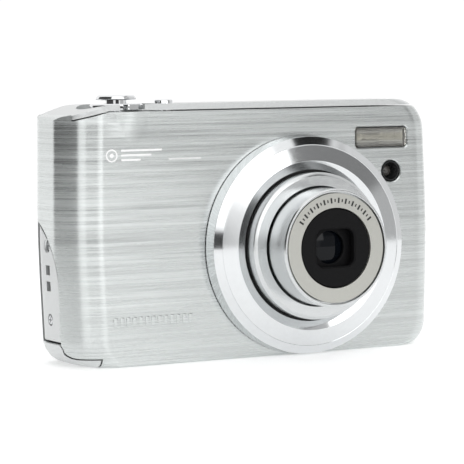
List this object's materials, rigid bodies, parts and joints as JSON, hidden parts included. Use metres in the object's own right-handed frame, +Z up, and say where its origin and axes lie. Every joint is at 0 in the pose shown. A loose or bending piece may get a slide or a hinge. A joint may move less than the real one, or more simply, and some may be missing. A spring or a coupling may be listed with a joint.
{
  "type": "compact digital camera",
  "caption": "Slim silver compact camera with an extending zoom lens, brushed metal front, built-in flash, rear screen, shutter button and a sliding battery door.",
  "frame": {"origin": "middle of the body's underside, on the flat that the camera stands on", "axes": "+Z up, lens looks along -Y, shutter button and strap end at -X"},
  "size_m": [0.0997, 0.0407, 0.0632],
  "materials": {
    "brushed_shell": "fine horizontal brushing, satin",
    "silver_plastic": "silver paint, satin",
    "polished_metal": "polished",
    "chrome": "mirror",
    "name_ring": "warm grey, satin",
    "black_plastic": "matt black",
    "glass": "coated lens glass",
    "clear_plastic": "ribbed clear plastic",
    "screen_glass": "gloss black display window",
    "rubber": "matt",
    "steel": "plated",
    "grey_metal": "plain sheet metal",
    "brass": "plain",
    "sensor": "sensor cover glass",
    "circuit_board": "solder mask",
    "battery_wrap": "printed wrap, plain",
    "card_plastic": "plain"
  },
  "bodies": {
    "body": {"front_cover": "brushed_shell", "rear_cover": "silver_plastic", "top_plate": "silver_plastic", "side_panel": "silver_plastic", "strap_bar": "chrome", "side_screw_upper": "steel", "side_screw_lower": "steel", "bottom_screw_left": "steel", "bottom_screw_right": "steel", "tripod_insert": "brass", "lens_bezel": "polished_metal", "light_seal": "rubber", "fixed_tube": "black_plastic", "sensor_plate": "grey_metal", "image_sensor": "sensor", "zoom_motor": "steel", "flash_window": "clear_plastic", "flash_reflector": "chrome", "flash_tube": "glass", "flash_capacitor": "black_plastic", "af_lamp_cup": "black_plastic", "af_lamp": "clear_plastic", "top_board": "circuit_board", "chassis": "black_plastic", "battery": "battery_wrap", "battery_contacts": "brass", "card_socket": "grey_metal", "main_board": "circuit_board", "usb_socket": "steel", "lcd_module": "grey_metal", "lcd_window": "screen_glass"},
    "cam": {"cam_ring": "black_plastic"},
    "outer": {"outer_barrel": "polished_metal"},
    "inner": {"inner_barrel": "polished_metal", "name_ring": "name_ring", "barrier_mask": "black_plastic", "lens_holder": "black_plastic", "front_lens": "glass", "iris_unit": "black_plastic"},
    "blade_upper": {"barrier_blade_upper": "black_plastic"},
    "blade_lower": {"barrier_blade_lower": "black_plastic"},
    "idler": {"idler_gear": "brass"},
    "pinion": {"motor_pinion": "brass"},
    "focus": {"focus_carrier": "black_plastic", "focus_lens": "glass"},
    "shutter": {"shutter_button": "chrome"},
    "lever": {"zoom_lever": "chrome"},
    "power": {"power_button": "chrome"},
    "slider": {"door_slider": "grey_metal", "door_pin": "steel"},
    "door": {"battery_door": "silver_plastic"},
    "latch": {"battery_latch": "brass"},
    "card": {"memory_card": "card_plastic"},
    "key_up_body": {"key_up": "silver_plastic"},
    "key_down_body": {"key_down": "silver_plastic"},
    "key_left_body": {"key_left": "silver_plastic"},
    "key_right_body": {"key_right": "silver_plastic"},
    "key_ok_body": {"key_ok": "silver_plastic"},
    "key_play_body": {"key_play": "silver_plastic"},
    "key_menu_body": {"key_menu": "silver_plastic"}
  },
  "joints": [
    {"name": "cam_turn", "type": "hinge", "parent": "body", "child": "cam", "pos_m": [0.01175, 0, 0.0265], "axis": [0, 1, 0], "range_deg": [-60, 37.5]},
    {"name": "outer_extend", "type": "slide", "parent": "body", "child": "outer", "axis": [0, -1, 0], "range_m": [-0.004, 0.0025]},
    {"name": "inner_extend", "type": "slide", "parent": "outer", "child": "inner", "axis": [0, -1, 0], "range_m": [-0.008, 0.005]},
    {"name": "idler_spin", "type": "hinge", "parent": "body", "child": "idler", "pos_m": [-0.00876, 0.0052, 0.01292], "axis": [0, 1, 0], "range_deg": [-272, 434]},
    {"name": "pinion_spin", "type": "hinge", "parent": "body", "child": "pinion", "pos_m": [-0.00814, 0.0052, 0.00696], "axis": [0, 1, 0], "range_deg": [-434, 272]},
    {"name": "barrier_upper", "type": "slide", "parent": "inner", "child": "blade_upper", "axis": [0, 0, -1], "range_m": [0, 0.0047]},
    {"name": "barrier_lower", "type": "slide", "parent": "inner", "child": "blade_lower", "axis": [0, 0, 1], "range_m": [0, 0.0047]},
    {"name": "focus_move", "type": "slide", "parent": "body", "child": "focus", "axis": [0, 1, 0], "range_m": [-0.0015, 0.0015]},
    {"name": "shutter_press", "type": "slide", "parent": "body", "child": "shutter", "axis": [0, 0, -1], "range_m": [0, 0.0007], "stiffness_N_per_m": 600, "springref_m": -0.001},
    {"name": "zoom_turn", "type": "hinge", "parent": "body", "child": "lever", "pos_m": [-0.033, -0.003, 0.06], "axis": [0, 0, 1], "range_deg": [-15, 15], "stiffness_Nm_per_rad": 0.05},
    {"name": "power_press", "type": "slide", "parent": "body", "child": "power", "axis": [0, 0, -1], "range_m": [0, 0.0005], "stiffness_N_per_m": 600, "springref_m": -0.001},
    {"name": "door_slide", "type": "slide", "parent": "body", "child": "slider", "axis": [-1, 0, 0], "range_m": [0, 0.0025]},
    {"name": "door_hinge", "type": "hinge", "parent": "slider", "child": "door", "pos_m": [-0.0136, 0, 0.00075], "axis": [0, -1, 0], "range_deg": [0, 85]},
    {"name": "latch_release", "type": "slide", "parent": "body", "child": "latch", "axis": [1, 0, 0], "range_m": [0, 0.001], "stiffness_N_per_m": 500, "springref_m": -0.001},
    {"name": "card_push", "type": "slide", "parent": "body", "child": "card", "axis": [0, 0, 1], "range_m": [0, 0.0008], "stiffness_N_per_m": 400, "springref_m": -0.001},
    {"name": "key_up_press", "type": "slide", "parent": "body", "child": "key_up_body", "axis": [0, -1, 0], "range_m": [0, 0.00035], "stiffness_N_per_m": 600, "springref_m": -0.001},
    {"name": "key_down_press", "type": "slide", "parent": "body", "child": "key_down_body", "axis": [0, -1, 0], "range_m": [0, 0.00035], "stiffness_N_per_m": 600, "springref_m": -0.001},
    {"name": "key_left_press", "type": "slide", "parent": "body", "child": "key_left_body", "axis": [0, -1, 0], "range_m": [0, 0.00035], "stiffness_N_per_m": 600, "springref_m": -0.001},
    {"name": "key_right_press", "type": "slide", "parent": "body", "child": "key_right_body", "axis": [0, -1, 0], "range_m": [0, 0.00035], "stiffness_N_per_m": 600, "springref_m": -0.001},
    {"name": "key_ok_press", "type": "slide", "parent": "body", "child": "key_ok_body", "axis": [0, -1, 0], "range_m": [0, 0.00035], "stiffness_N_per_m": 600, "springref_m": -0.001},
    {"name": "key_play_press", "type": "slide", "parent": "body", "child": "key_play_body", "axis": [0, -1, 0], "range_m": [0, 0.00035], "stiffness_N_per_m": 600, "springref_m": -0.001},
    {"name": "key_menu_press", "type": "slide", "parent": "body", "child": "key_menu_body", "axis": [0, -1, 0], "range_m": [0, 0.00035], "stiffness_N_per_m": 600, "springref_m": -0.001}
  ],
  "couplings": [
    {"joint": "cam_turn", "follows": "outer_extend", "rad_per_m": 261.78},
    {"joint": "inner_extend", "follows": "outer_extend", "ratio": 2},
    {"joint": "idler_spin", "follows": "outer_extend", "rad_per_m": -1884.8},
    {"joint": "pinion_spin", "follows": "outer_extend", "rad_per_m": 1884.8},
    {"joint": "barrier_lower", "follows": "barrier_upper", "ratio": 1}
  ]
}
